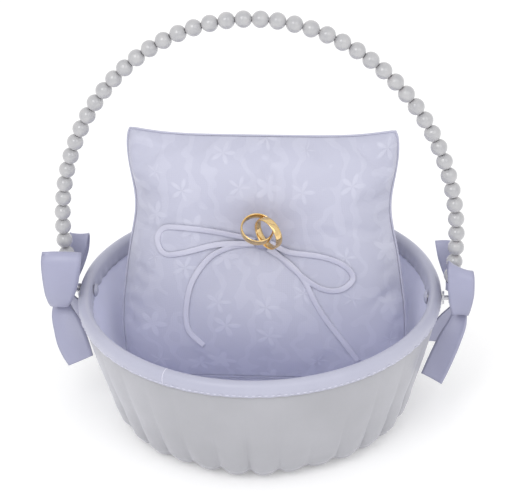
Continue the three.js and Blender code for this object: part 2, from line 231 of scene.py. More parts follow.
def satin(name, color, shade, rough=0.38, thread=0.0004, uv=True, cloud=26):
    """Woven satin: fine crossed threads, a soft sheen and slow tonal clouds."""
    mat, tree, shader = material(name, color, rough)
    vector = coordinates(tree)
    slow = noise(tree, vector, cloud, 4, 0.55)
    tree.links.new(ramp(tree, slow, [(0.3, shade), (0.7, color)]), shader.inputs["Base Color"])
    fine = coordinates(tree, uv=uv)
    threads = weave(tree, fine, thread)
    uneven = noise(tree, vector, 380, 2, 0.6)
    bump(tree, shader, [(slow, 0.25, 0.0008), (threads, 0.35, 0.00004), (uneven, 0.15, 0.00006)])
    gloss = tree.nodes.new("ShaderNodeMapRange")
    gloss.inputs["To Min"].default_value = rough - 0.07
    gloss.inputs["To Max"].default_value = rough + 0.1
    tree.links.new(uneven, gloss.inputs["Value"])
    tree.links.new(gloss.outputs["Result"], shader.inputs["Roughness"])
    shader.inputs["Sheen Weight"].default_value = 0.35
    shader.inputs["Sheen Roughness"].default_value = 0.4
    shader.inputs["Sheen Tint"].default_value = (0.9, 0.9, 1.0, 1)
    shader.inputs["Specular IOR Level"].default_value = 0.45
    return mat


# The lining colours below are a lilac tint painted about twice as light as the cover's white: painted light
# standing in for the light that the shaded inside of the bowl and its padded floor do not get.
LILAC_PAINTED_LIGHT = (0.80, 0.81, 0.96)
LILAC_PAINTED_LIGHT_CLOUD = (0.75, 0.76, 0.92)
WHITE = (0.39, 0.39, 0.42)
WHITE_SHADE = (0.35, 0.35, 0.375)
satin_cover = satin("satin_cover", WHITE, WHITE_SHADE)
satin_lining_painted_light = satin("satin_lining_painted_light", LILAC_PAINTED_LIGHT, LILAC_PAINTED_LIGHT_CLOUD)
# The band's satin is a real lilac tint painted lighter than the cover: painted highlight for the rolled rim
# catching light from above.
satin_band_painted_light = satin("satin_band_painted_light", (0.44, 0.445, 0.545), (0.40, 0.405, 0.505), rough=0.34)
satin_ribbon = satin("satin_ribbon", (0.355, 0.36, 0.49), (0.32, 0.325, 0.45), rough=0.32)
satin_narrow = satin("satin_narrow", (0.57, 0.57, 0.68), (0.52, 0.52, 0.63), rough=0.3)


def pearl_material():
    mat, tree, shader = material("pearl_coat", (0.42, 0.42, 0.44), 0.22)
    vector = coordinates(tree)
    swirl = noise(tree, vector, 190, 3, 0.6)
    color = ramp(tree, swirl, [(0.3, (0.37, 0.37, 0.39)), (0.6, (0.44, 0.44, 0.45)),
                               (0.8, (0.46, 0.43, 0.45))])
    tree.links.new(color, shader.inputs["Base Color"])
    shader.inputs["Coat Weight"].default_value = 0.6
    shader.inputs["Coat Roughness"].default_value = 0.08
    shader.inputs["Sheen Weight"].default_value = 0.2
    shader.inputs["Sheen Tint"].default_value = (1.0, 0.93, 0.96, 1)
    bump(tree, shader, [(noise(tree, vector, 900, 2), 0.12, 0.00005)])
    return mat


def metal_material(name, color, rough, grain):
    mat, tree, shader = material(name, color, rough, 1.0)
    vector = coordinates(tree, scale=(1, 1, grain))
    streak = noise(tree, vector, 900, 3, 0.6)
    spread = tree.nodes.new("ShaderNodeMapRange")
    spread.inputs["To Min"].default_value = rough * 0.7
    spread.inputs["To Max"].default_value = rough * 1.4
    tree.links.new(streak, spread.inputs["Value"])
    tree.links.new(spread.outputs["Result"], shader.inputs["Roughness"])
    tint = tuple(c * 0.88 for c in color)
    tree.links.new(ramp(tree, streak, [(0.35, tint), (0.65, color)]), shader.inputs["Base Color"])
    bump(tree, shader, [(streak, 0.08, 0.00003)])
    return mat


def board_material():
    mat, tree, shader = material("moulded_board", (0.75, 0.75, 0.74), 0.7)
    vector = coordinates(tree)
    grain = noise(tree, vector, 260, 5, 0.65)
    tree.links.new(ramp(tree, grain, [(0.3, (0.68, 0.68, 0.67)), (0.7, (0.78, 0.78, 0.77))]),
                   shader.inputs["Base Color"])
    bump(tree, shader, [(grain, 0.3, 0.0002)])
    return mat


def thread_material():
    mat, tree, shader = material("sewing_thread", (0.66, 0.66, 0.76), 0.55)
    wave = node(tree, "ShaderNodeTexWave", Scale=900.0, Distortion=0.4)
    wave.bands_direction = "DIAGONAL"
    tree.links.new(coordinates(tree), wave.inputs["Vector"])
    tree.links.new(ramp(tree, wave.outputs["Fac"], [(0.2, (0.58, 0.58, 0.68)), (0.8, (0.7, 0.7, 0.8))]),
                   shader.inputs["Base Color"])
    bump(tree, shader, [(wave.outputs["Fac"], 0.4, 0.00006)])
    return mat


pearl_coat = pearl_material()
gold_metal = metal_material("polished_gold", (0.86, 0.62, 0.30), 0.12, 0.2)
steel_metal = metal_material("plated_steel", (0.62, 0.62, 0.65), 0.28, 0.1)
moulded_board = board_material()
sewing_thread = thread_material()


# ---------------------------------------------------------------- bowl
RIBS = 32


def turned(name, profile, cols, shape, body, mat):
    """Sweeps a closed profile (radius, height in mm) round Z; shape(a, row, r, z) bends each point."""
    verts, uvs = [], []
    lengths = np.concatenate([[0], np.cumsum(np.hypot(*np.diff(np.array(profile), axis=0).T))])
    for j, (r, z) in enumerate(profile):
        for i in range(cols):
            a = 2 * math.pi * i / cols
            rr, zz = shape(a, i, r, z)
            verts.append((rr * math.cos(a) * MM, rr * math.sin(a) * MM, zz * MM))
            uvs.append((a * 0.09, lengths[j] * MM))
    faces = grid_faces(len(profile), cols, wrap_rows=True, wrap_cols=True)
    return outward(smooth_object(name, verts, faces, body, mat, uvs))


def disc(name, profile, cols, shape, body, mat):
    """Sweeps a profile that starts and ends on the Z axis."""
    obj = turned(name, profile, cols, shape, body, mat)
    bm = bmesh.new()
    bm.from_mesh(obj.data)
    bmesh.ops.remove_doubles(bm, verts=bm.verts, dist=1e-6)
    bmesh.ops.holes_fill(bm, edges=bm.edges, sides=4)
    bmesh.ops.recalc_face_normals(bm, faces=bm.faces)
    bm.to_mesh(obj.data)
    bm.free()
    return obj


def rib(a, jitter=0.0):
    """Height of a gathered rib, 0 in the stitched valley and 1 along its back."""
    return abs(math.sin(RIBS * a / 2 + jitter)) ** 0.55


COVER_COLS = RIBS * 16
rib_size = 1 + 0.22 * smooth_noise(COVER_COLS, range(3, 15), 3)
rib_shift = 0.16 * smooth_noise(COVER_COLS, range(2, 9), 5)


def cover_shape(a, i, r, z):
    if r < bowl_radius(z) - 0.7:
        return r, z
    height = rib(a, rib_shift[i])
    depth = rib_size[i] * float(np.interp(z, [0, 4, 12, 24, 40, 60], [3.2, 3.5, 2.6, 1.2, 0.5, 0.15]))
    lift = (1 - height) * 4 * max(0, 1 - z / 8)
    return r + max(0.26 * depth, depth - 1.1) - depth * (1 - height), z + lift


def outer_cover():
    heights = [0.0, 0.6, 1.4, 2.4, 3.6, 5, 6.6, 8.4, 10.4, 13, 16, 19, 22, 26, 30, 35, 40, 45, 50, 55, 60, 66]
    rounding = {0.0: -1.2, 0.6: 0.4, 1.4: 0.7, 2.4: 0.7, 3.6: 0.5}
    outer = [(bowl_radius(z) + rounding.get(z, 0.0), z) for z in heights]
    inner = [(bowl_radius(z) - 0.85, z) for z in (66, 54, 36, 18, 8, 3)]
    under = [(66.8, 0.85), (56, 0.85), (47.6, 0.8), (47.4, 0.4), (48.5, 0.05), (56, 0.0)]
    cover = turned("satin_outer_cover", outer + inner + under, COVER_COLS, cover_shape, "basket", satin_cover)
    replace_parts(cover, "outer_cover")


def base_cover():
    folds = smooth_noise(256, range(9, 40), 17)

    def gathers(a, i, r, z):
        return r, z + (0.05 * folds[i] * r / 47 if z > 0.6 else 0)

    profile = [(0, 0.05), (30, 0.0), (44, 0.05), (46.6, 0.25), (46.9, 0.55), (45, 0.8), (20, 0.8), (0, 0.8)]
    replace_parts(disc("base_disc_cover", profile, 256, gathers, "basket", satin_cover), "base_disc")


LINING_COLS = 384
lining_folds = smooth_noise(LINING_COLS, range(16, 46), 29)
lining_drape = smooth_noise(LINING_COLS, range(3, 9), 31)


def inner_lining():
    def shape(a, i, r, z):
        if r > bowl_radius(z) - 3.5:
            return r, z
        fold = float(np.interp(z, [3, 10, 30, 50, 66], [0.6, 1.0, 0.6, 0.32, 0.2]))
        return r - 0.55 - fold * (0.5 * lining_folds[i] + 0.35 * lining_drape[i]), z

    heights = [3.1, 5, 7, 9, 12, 15, 19, 24, 29, 34, 40, 46, 52, 58, 62, 66]
    inner = [(bowl_radius(z) - 3.9, z) for z in heights]
    outer = [(bowl_radius(z) - 3.1, z) for z in reversed(heights)]
    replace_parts(turned("satin_lining_painted_light", inner + outer, LINING_COLS, shape, "basket", satin_lining_painted_light),
                "inner_lining")


def floor_pad():
    low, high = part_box("floor_pad")
    top, foot, radius = high.z / MM, low.z / MM, high.x / MM
    puckers = smooth_noise(LINING_COLS, range(14, 40), 41)

    def shape(a, i, r, z):
        edge = math.exp(-((radius - r) / 5) ** 2)
        return r, z + (0.35 * puckers[i] * edge if z > foot + 0.5 else 0)

    profile = [(0, foot), (40, foot), (radius - 0.6, foot), (radius, foot + 0.7), (radius - 1.2, top - 0.3),
               (radius - 4, top + 0.5), (radius - 10, top + 1.0), (radius - 25, top + 1.3), (20, top + 1.4),
               (0, top + 1.4)]
    pad = disc("padded_floor", profile, LINING_COLS, shape, "basket", satin_lining_painted_light)
    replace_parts(pad, "floor_pad")


BAND_COLS = 480
band_wave = smooth_noise(BAND_COLS, range(2, 8), 51)
band_pucker = smooth_noise(BAND_COLS, range(40, 110), 53)
BAND_FOOT = 62.6


def band_shape(a, i, r, z):
    low = max(0, 1 - (z - BAND_FOOT) / 4)
    pull = 0.18 * band_pucker[i] * low
    return r + (pull if r > 90 else -pull), z + 0.3 * band_wave[i] * min(1, max(0, z - 60) / 6)


def rim_band():
    profile = [
        (92.5, 62.5), (93.1, 62.3), (93.5, 63.0), (93.8, 64.4), (93.9, 65.8), (93.7, 67.2), (93.1, 68.5),
        (92.1, 69.4), (90.9, 69.85), (89.7, 69.8), (88.6, 69.2), (87.8, 68.2), (87.3, 66.8), (87.0, 65.2),
        (86.7, 63.4), (86.4, 61.6), (86.9, 61.1), (87.5, 62.0), (88.2, 65.4), (88.7, 67.4), (89.6, 68.6),
        (91.2, 68.7), (92.3, 67.4), (92.6, 65.0)]
    band = turned("satin_rim_band", profile, BAND_COLS, band_shape, "basket", satin_band_painted_light)
    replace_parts(band, "rim_band")


def stud_covers():
    """Satin-covered caps over the rivet heads inside the bowl."""
    for name, side in (("left", -1), ("right", 1)):
        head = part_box(f"pivot_stud_{name}")[1 if side < 0 else 0]
        verts = []
        for k in range(9):
            a = k / 8 * math.pi / 2
            for c in range(24):
                t = 2 * math.pi * c / 24
                r = 0.0036 * math.cos(a)
                verts.append((head.x + side * (0.0011 - 0.0018 * math.sin(a)), r * math.cos(t),
                              0.064 + r * math.sin(t)))
        faces = grid_faces(9, 24, wrap_cols=True) + [tuple(range(24)), tuple(range(8 * 24, 9 * 24))]
        outward(smooth_object(f"stud_cap_{name}", verts, faces, "basket", satin_band_painted_light))


def tube(name, points, radius, body, mat, sides=8, closed=False, flat=1.0):
    """Round (or flattened) tube along points in metres."""
    pts = [Vector(p) for p in points]
    count = len(pts)
    verts = []
    normal = None
    for i, p in enumerate(pts):
        before = pts[(i - 1) % count] if closed or i else p
        after = pts[(i + 1) % count] if closed or i < count - 1 else p
        along = (after - before).normalized()
        if normal is None:
            normal = along.orthogonal().normalized()
        normal = (normal - along * normal.dot(along)).normalized()
        across = along.cross(normal)
        for s in range(sides):
            a = 2 * math.pi * s / sides
            verts.append(p + normal * math.cos(a) * radius + across * math.sin(a) * radius * flat)
    faces = grid_faces(count, sides, wrap_rows=closed, wrap_cols=True)
    if not closed:
        faces.append(tuple(range(sides)))
        faces.append(tuple(range(len(verts) - 1, len(verts) - 1 - sides, -1)))
    return outward(smooth_object(name, verts, faces, body, mat))


def stitches(name, count, place, length, radius, body, mat):
    """Small raised stitches: place(t) gives each one's middle and direction, for t from 0 to 1."""
    verts, faces = [], []
    for k in range(count):
        middle, along, up = place(k / count)
        side = along.cross(up).normalized()
        base = len(verts)
        for s in np.linspace(-1, 1, 5):
            swell = radius * math.sqrt(max(0.08, 1 - s * s))
            centre = middle + along * (s * length / 2) + up * (radius * 0.5 * (1 - s * s))
            for c in range(6):
                a = 2 * math.pi * c / 6
                verts.append(centre + side * math.cos(a) * swell + up * math.sin(a) * swell)
        faces += [tuple(base + v for v in f) for f in grid_faces(5, 6, wrap_cols=True)]
        faces.append(tuple(base + v for v in range(6)))
        faces.append(tuple(base + v for v in range(29, 23, -1)))
    return outward(smooth_object(name, verts, faces, body, mat))


def band_stitching():
    def place(t):
        a = 2 * math.pi * t
        out = Vector((math.cos(a), math.sin(a), 0))
        return out * 0.09365 + Vector((0, 0, 0.0638)), Vector((-out.y, out.x, 0)), out

    stitches("rim_stitching", 190, place, 0.0021, 0.00022, "basket", sewing_thread)


def band_join():
    """The short seam where the band's two ends meet, left of the front."""
    a = math.radians(-115)
    out = Vector((math.cos(a), math.sin(a), 0))
    line = [(93.3, 62.6), (93.9, 64.4), (94.0, 65.8), (93.8, 67.2), (93.2, 68.6), (92.1, 69.5), (90.9, 69.95),
            (89.6, 69.85), (88.5, 69.2)]
    points = [out * r * MM + Vector((0, 0, z * MM)) for r, z in line]
    tube("rim_join_seam", points, 0.00028, "basket", sewing_thread, flat=0.7)


outer_cover()
base_cover()
inner_lining()
floor_pad()
rim_band()
stud_covers()
band_stitching()
band_join()


# ---------------------------------------------------------------- handle
ARCH_HALF_WIDTH = 0.1004
ARCH_HALF_HEIGHT = 0.1178
ARCH_CENTRE_Z = 0.0986
ARCH_FOOT_Z = 0.0735
PEARLS = 48
PEARL_RADIUS = 0.0042
BORE_RADIUS = 0.0009


def arch_points(count):
    """Points at even distances along the arch, from the left foot to the right."""
    start = math.asin((ARCH_FOOT_Z - ARCH_CENTRE_Z) / ARCH_HALF_HEIGHT)
    a = np.linspace(start, math.pi - start, 4000)
    fine = np.stack([-ARCH_HALF_WIDTH * np.cos(a), 0 * a, ARCH_CENTRE_Z + ARCH_HALF_HEIGHT * np.sin(a)], 1)
    run = np.concatenate([[0], np.cumsum(np.linalg.norm(np.diff(fine, axis=0), axis=1))])
    at = np.linspace(0, run[-1], count)
    return np.stack([np.interp(at, run, fine[:, k]) for k in range(3)], 1)


def pearl_mesh():
    rows, cols = 22, 32
    mouth = math.asin(BORE_RADIUS * 1.25 / PEARL_RADIUS)
    profile = [(PEARL_RADIUS * math.sin(a), PEARL_RADIUS * math.cos(a))
               for a in np.linspace(mouth, math.pi - mouth, rows)]
    inside = PEARL_RADIUS * math.cos(mouth) - 0.0003
    profile += [(BORE_RADIUS, -inside), (BORE_RADIUS, inside)]
    verts = [(r * math.cos(2 * math.pi * c / cols), r * math.sin(2 * math.pi * c / cols), z)
             for r, z in profile for c in range(cols)]
    made = outward(smooth_object("pearl_blank", verts, grid_faces(len(profile), cols, True, True)))
    mesh = made.data
    mesh.materials.append(pearl_coat)
    bpy.data.objects.remove(made)
    return mesh


def pearls():
    mesh = pearl_mesh()
    half_steps = arch_points(2 * PEARLS + 1)
    strands = ["pearl_strand_left", "pearl_strand_top", "pearl_strand_right"]
    for k in range(PEARLS):
        before, middle, after = (Vector(p) for p in half_steps[2 * k:2 * k + 3])
        pearl = bpy.data.objects.new(f"pearl_{k + 1:02d}", mesh)
        scene.collection.objects.link(pearl)
        turn = (after - before).to_track_quat("Z", "Y").to_matrix().to_4x4()
        wobble = Matrix.Rotation(random.uniform(0, 6.28), 4, "Z")
        pearl.matrix_world = Matrix.Translation(middle) @ turn @ wobble
        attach(pearl, "handle")
        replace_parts(pearl, strands[k * 3 // PEARLS])


def handle_wire():
    foot_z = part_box("handle_wire")[0].z
    foot_x = (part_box("handle_eye_right")[0].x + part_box("handle_eye_right")[1].x) / 2
    arch = [tuple(p) for p in arch_points(97)]
    legs = [(-foot_x, 0, foot_z), (-foot_x, 0, (foot_z + ARCH_FOOT_Z) / 2)]
    points = legs + arch + [(-x, y, z) for x, y, z in reversed(legs)]
    wire = tube("handle_wire_core", points, 0.0008, "handle", steel_metal, sides=12)
    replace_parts(wire, "handle_wire")


pearls()
handle_wire()


# ---------------------------------------------------------------- ribbons
def ribbon(name, centre, across, widths, body, mat, thickness=0.00045, closed=False, cols=9, curl=0.0,
           rounds=6):
    """A closed strip of ribbon in metres: a middle line, the direction across it and its width at each
    point. curl dishes it across its width."""
    c = catmull(centre, rounds, closed)
    d = catmull(across, rounds, closed)
    w = catmull([(x, 0, 0) for x in widths], rounds, closed)[:, 0]
    count = len(c)
    ahead = np.roll(c, -1, 0) if closed else np.vstack([c[1:], c[-1:]])
    behind = np.roll(c, 1, 0) if closed else np.vstack([c[:1], c[:-1]])
    along = ahead - behind
    along /= np.linalg.norm(along, axis=1)[:, None]
    d = d - along * (d * along).sum(1)[:, None]
    d /= np.linalg.norm(d, axis=1)[:, None]
    up = np.cross(along, d)
    s = np.linspace(-1, 1, cols)
    ring_s = np.concatenate([s, s[::-1]])
    side = np.concatenate([np.ones(cols), -np.ones(cols)])
    run = np.concatenate([[0], np.cumsum(np.linalg.norm(np.diff(c, axis=0), axis=1))])
    verts, uvs = [], []
    for i in range(count):
        edge = 1 + 0.5 * np.exp(-((1 - abs(ring_s)) * 14) ** 2)
        dish = curl * w[i] * (ring_s ** 2 - 0.33)
        offset = dish + side * thickness / 2 * edge
        verts.append(c[i] + np.outer(ring_s * w[i] / 2, d[i]) + np.outer(offset, up[i]))
        uvs.append(np.stack([ring_s * w[i] / 2, np.full(len(ring_s), run[i])], 1))
    verts = np.concatenate(verts)
    ring_count = 2 * cols
    faces = grid_faces(count, ring_count, wrap_rows=closed, wrap_cols=True)
    if not closed:
        first = list(range(ring_count))
        last = [(count - 1) * ring_count + k for k in range(ring_count)]
        for loop in (first, last):
            for k in range(cols - 1):
                faces.append((loop[k], loop[k + 1], loop[ring_count - 2 - k], loop[ring_count - 1 - k]))
    obj = smooth_object(name, verts, faces, body, mat, np.concatenate(uvs))
    obj["flat_area"] = float((w[:-1] * np.linalg.norm(np.diff(c, axis=0), axis=1)).sum())
    obj["run"] = float(run[-1])
    return outward(obj), c


def catmull(points, rounds, closed=False):
    """Centripetal-free Catmull-Rom through points, each span cut into rounds steps."""
    p = np.asarray(points, float)
    n = len(p)
    out = []
    spans = n if closed else n - 1
    for i in range(spans):
        p0 = p[(i - 1) % n] if closed or i > 0 else 2 * p[0] - p[1]
        p1, p2 = p[i], p[(i + 1) % n]
        p3 = p[(i + 2) % n] if closed or i + 2 < n else 2 * p[-1] - p[-2]
        for t in np.arange(rounds) / rounds:
            out.append(0.5 * (2 * p1 + (p2 - p0) * t + (2 * p0 - 5 * p1 + 4 * p2 - p3) * t ** 2
                              + (3 * p1 - p0 - 3 * p2 + p3) * t ** 3))
    if not closed:
        out.append(p[-1])
    return np.array(out)


def bow_ribbon(name, nodes, side, points, across, widths, curl=0.0):
    """One loop or tail of a foot bow, given for the right side in mm and mirrored for the left."""
    flip = np.array([side, 1, 1])
    centre = np.array(points, float) * MM * flip
    directions = np.array(across, float) * flip
    piece, _ = ribbon(name, centre, directions, [w * MM for w in widths], "handle", satin_ribbon, curl=curl)
    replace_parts(piece, *nodes)
    return piece


# x away from the middle, y, z in mm, from the knot round the loop and back
FRONT_LOOP = {
    -1: [(103.5, -3.6, 63), (102.6, -7.4, 70), (101.6, -8.8, 79), (100.8, -9.8, 88), (99.4, -13.6, 94),
         (99.4, -18, 90), (100.2, -19.2, 80), (101.8, -17.8, 70), (103.2, -14, 62), (104, -7, 60.4)],
    1: [(103.5, -3.6, 63), (103, -7, 70), (102.8, -8.4, 78), (102.4, -9.4, 85.5), (102.4, -13, 89.5),
        (102.8, -17, 86), (103.2, -18.2, 78), (103.2, -16.6, 69.5), (103.4, -13, 62), (104, -7, 60.4)]}
FRONT_WIDTHS = {
    -1: [6.5, 10.5, 15, 18, 20, 20.5, 18.5, 14.5, 9, 6],
    1: [6.5, 9, 11.5, 13, 13.5, 13.5, 13, 11, 8, 6]}
FRONT_TILT = {-1: [0] * 10, 1: [0, -0.1, -0.3, -0.45, -0.5, -0.5, -0.35, -0.2, 0, 0]}
REAR_LOOP = [(103, 3.6, 63), (100.5, 6.6, 70), (98, 8, 79), (96, 9, 86), (95, 12, 90.6), (95.4, 16, 86.6),
             (96.8, 17.2, 78.5), (99.6, 15, 70), (102.6, 9.4, 63), (103.6, 5, 60.4)]
REAR_WIDTHS = [6, 8.5, 9.5, 10, 10, 10, 10, 9.5, 8, 6]
FRONT_TAIL = {
    -1: [(103.8, -5.4, 60.4), (102.4, -10, 55), (99.4, -14.6, 49.4), (97, -18.4, 44), (94.6, -21, 39),
         (92.4, -22.8, 34.6)],
    1: [(103.6, -5, 60), (102, -9.4, 54), (98.6, -13.6, 47.6), (95.4, -17, 41), (92.4, -19.8, 34.6),
        (89.6, -22, 28.6)]}
FRONT_TAIL_WIDTHS = {-1: [8, 12.5, 15.5, 16.5, 16, 14.5], 1: [7, 10, 12, 12.5, 12.5, 12]}
FRONT_TAIL_TILT = {-1: 0.1, 1: -0.35}
REAR_TAIL = [(103.4, 4.8, 59.6), (102, 8.6, 53.5), (98.4, 11.6, 46.5), (95.4, 13.6, 39.6), (93, 15, 33),
             (91, 16, 27)]
REAR_TAIL_WIDTHS = [6, 8, 10, 11.5, 12.5, 13]


def bow_knot(name, side):
    """The knot: a puffed wrap with lengthwise creases round the foot of the handle."""
    low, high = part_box(f"bow_knot_{name}")
    lump_far = high.x if side > 0 else low.x
    middle = Vector((lump_far - side * 0.0042, 0, 0.0646))
    rows, cols = 26, 40
    verts = []
    for i in range(rows):
        lat = math.pi * i / (rows - 1)
        for j in range(cols):
            a = 2 * math.pi * j / cols
            crease = 1 + 0.05 * math.sin(5 * a + 0.6 * math.sin(2 * lat)) * math.sin(lat)
            pinch = 1 - 0.10 * math.cos(2 * lat)
            y = 0.0064 * math.cos(lat)
            x = 0.0041 * math.sin(lat) ** 0.8 * math.cos(a) * crease * pinch
            z = 0.0062 * math.sin(lat) ** 0.8 * math.sin(a) * crease * pinch
            verts.append(middle + Vector((x, y, z)))
    knot = smooth_object(f"bow_knot_puff_{name}", verts, grid_faces(rows, cols, wrap_cols=True), "handle",
                         satin_ribbon)
    bm = bmesh.new()
    bm.from_mesh(knot.data)
    bmesh.ops.remove_doubles(bm, verts=bm.verts, dist=1e-5)
    bmesh.ops.recalc_face_normals(bm, faces=bm.faces)
    bm.to_mesh(knot.data)
    bm.free()
    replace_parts(knot, f"bow_knot_{name}")
    leg = side * 0.0982
    wrap = [(leg - side * 0.0022, 0, 0.0712), (leg, -0.0027, 0.0714), (leg + side * 0.0042, -0.003, 0.0706),
            (leg + side * 0.0072, 0, 0.0696), (leg + side * 0.0042, 0.003, 0.0706), (leg, 0.0027, 0.0714)]
    ribbon(f"bow_wrap_{name}", wrap, [(0, 0, 1)] * 6, [0.0042] * 6, "handle", satin_ribbon, closed=True)


def bows():
    for name, side in (("left", -1), ("right", 1)):
        bow_knot(name, side)
        tilted = [(1, 0, lean) for lean in FRONT_TILT[side]]
        bow_ribbon(f"bow_loop_front_{name}", [f"bow_front_loop_{name}"], side, FRONT_LOOP[side], tilted,
                   FRONT_WIDTHS[side], 0.05)
        bow_ribbon(f"bow_loop_rear_{name}", [f"bow_rear_loop_{name}"], side, REAR_LOOP, [(1, 0, 0)] * 10,
                   REAR_WIDTHS, 0.05)
        bow_ribbon(f"bow_tail_front_{name}", [f"bow_front_tail_{name}"], side, FRONT_TAIL[side],
                   [(1, FRONT_TAIL_TILT[side], 0)] * 6, FRONT_TAIL_WIDTHS[side], 0.06)
        bow_ribbon(f"bow_tail_rear_{name}", [f"bow_rear_tail_{name}"], side, REAR_TAIL,
                   [(1, 0.25, 0)] * 6, REAR_TAIL_WIDTHS, 0.06)


bows()


# ---------------------------------------------------------------- ring pillow
LEAN = math.radians(11.5)
PILLOW_FRAME = Matrix.Translation((0.001, 0.012, 0.078)) @ Matrix.Rotation(math.pi / 2 - LEAN, 4, "X")
PILLOW_HALF = 0.07
PILLOW_TALL = 0.0715
PILLOW_THICK = 0.044
PILLOW_WAIST = 0.0042
PILLOW_BELLY = 0.0046
PILLOW_DIP = 0.075
TUFT = Vector((0.0014, 0.0145))
SIDE_CELLS = 52
SIM_SCALE = 10


def cushion_grid():
    """Two square layers of cloth joined along their edges, in pillow units of -1 to 1."""
    n = SIDE_CELLS + 1
    line = np.linspace(-1, 1, n)
    verts, index = [], {}
    for layer in (1, -1):
        for i in range(n):
            for j in range(n):
                edge = i in (0, n - 1) or j in (0, n - 1)
                if edge and layer == -1:
                    index[layer, i, j] = index[1, i, j]
                    continue
                index[layer, i, j] = len(verts)
                verts.append((line[j], line[i], 0 if edge else layer))
    faces = []
    for layer in (1, -1):
        for i in range(n - 1):
            for j in range(n - 1):
                quad = [index[layer, i, j], index[layer, i, j + 1], index[layer, i + 1, j + 1],
                        index[layer, i + 1, j]]
                faces.append(tuple(quad if layer == 1 else reversed(quad)))
    front = (n - 1) ** 2
    return np.array(verts, float), faces, front


def crown(flat, layer):
    u, v = flat[:, 0], flat[:, 1]
    dome = np.clip((1 - u ** 2) * (1 - v ** 2), 0, 1) ** 0.42
    away = ((u * PILLOW_HALF - TUFT.x) ** 2 + (v * PILLOW_TALL - TUFT.y) ** 2) / (2 * 0.008 ** 2)
    z = (PILLOW_THICK / 2) * dome * (1 - 0.38 * np.exp(-away))
    waist = PILLOW_WAIST * np.exp(-((v - 0.42) / 0.28) ** 2)
    belly = PILLOW_BELLY * np.exp(-((v + 0.5) / 0.42) ** 2)
    x = u * (PILLOW_HALF - waist + belly)
    y = v * PILLOW_TALL * (1 - PILLOW_DIP * (1 - np.abs(u) ** 5))
    return np.stack([x, y, z * layer], 1)


def simulate_cushion(flat, layer, faces):
    """Slack cloth sewn round the edge and held in at the tuft, puffed out by the stuffing's pressure."""
    start = crown(flat, layer) * SIM_SCALE
    obj = smooth_object("cushion_cloth", start, faces)
    held = obj.vertex_groups.new(name="held")
    from_tuft = np.hypot(start[:, 0] - TUFT.x * SIM_SCALE, start[:, 1] - TUFT.y * SIM_SCALE)
    fixed = (np.abs(flat).max(1) > 0.999) | (from_tuft < 0.0032 * SIM_SCALE)
    held.add([int(i) for i in np.nonzero(fixed)[0]], 1.0, "REPLACE")
    cloth = obj.modifiers.new("cloth", "CLOTH")
    settings = cloth.settings
    settings.quality = 8
    settings.mass = 0.25
    settings.tension_stiffness = 30
    settings.compression_stiffness = 30
    settings.shear_stiffness = 6
    settings.bending_stiffness = 0.25
    settings.tension_damping = 12
    settings.compression_damping = 12
    settings.shear_damping = 8
    settings.air_damping = 4
    settings.use_pressure = True
    settings.uniform_pressure_force = 2.5
    settings.shrink_min = -0.05
    settings.vertex_group_mass = "held"
    settings.effector_weights.gravity = 0
    cloth.collision_settings.use_collision = False
    cloth.point_cache.frame_end = 60
    for number in range(1, 41):
        scene.frame_set(number)
    bpy.context.view_layer.update()
    posed = obj.evaluated_get(bpy.context.evaluated_depsgraph_get())
    result = np.array([v.co for v in posed.data.vertices], float) / SIM_SCALE
    scene.frame_set(1)
    bpy.data.objects.remove(obj)
    return result


def fitted(shape):
    """Brings the cushion to the CAD pillow's thickness."""
    return shape * np.array([1, 1, PILLOW_THICK / 2 / np.abs(shape[:, 2]).max()])


def gathered(shape, flat, layer):
    """Adds the small puckers of the sewn edge and the pleats that run into the tuft."""
    x, y, z = shape.T.copy()
    dx, dy = x - TUFT.x, y - TUFT.y
    away = np.hypot(dx, dy) / MM
    turn = np.arctan2(dy, dx)
    pleats = np.cos(11 * turn + 1.3 * np.sin(3 * turn)) * np.exp(-((away - 10) / 8) ** 2) * 0.7
    above = np.exp(-((y / MM - 33) / 9) ** 2 - ((x / MM - 2) / 10) ** 2)
    pleats += 0.9 * above * np.cos((x / MM - 1) * 2 * math.pi / 8.5)
    edge = np.minimum(1 - np.abs(flat[:, 0]), 1 - np.abs(flat[:, 1])) * PILLOW_HALF / MM
    along = np.where(1 - np.abs(flat[:, 0]) < 1 - np.abs(flat[:, 1]), y, x) / MM
    wave = np.sin(along * 2 * math.pi / 7.3 + 2 * np.sin(along / 11))
    puckers = 0.55 * np.exp(-((edge - 4) / 4) ** 2) * wave
    puckers *= np.clip(edge / 2, 0, 1)
    corner = 1 - 0.03 * np.abs(flat[:, 0] * flat[:, 1]) ** 12
    x, y = x * corner, y * corner
    return np.stack([x, y, z + (pleats + puckers) * MM * layer * (edge > 0.5)], 1)


def world(shape):
    m = np.array(PILLOW_FRAME, float)
    return shape @ m[:3, :3].T + m[:3, 3]


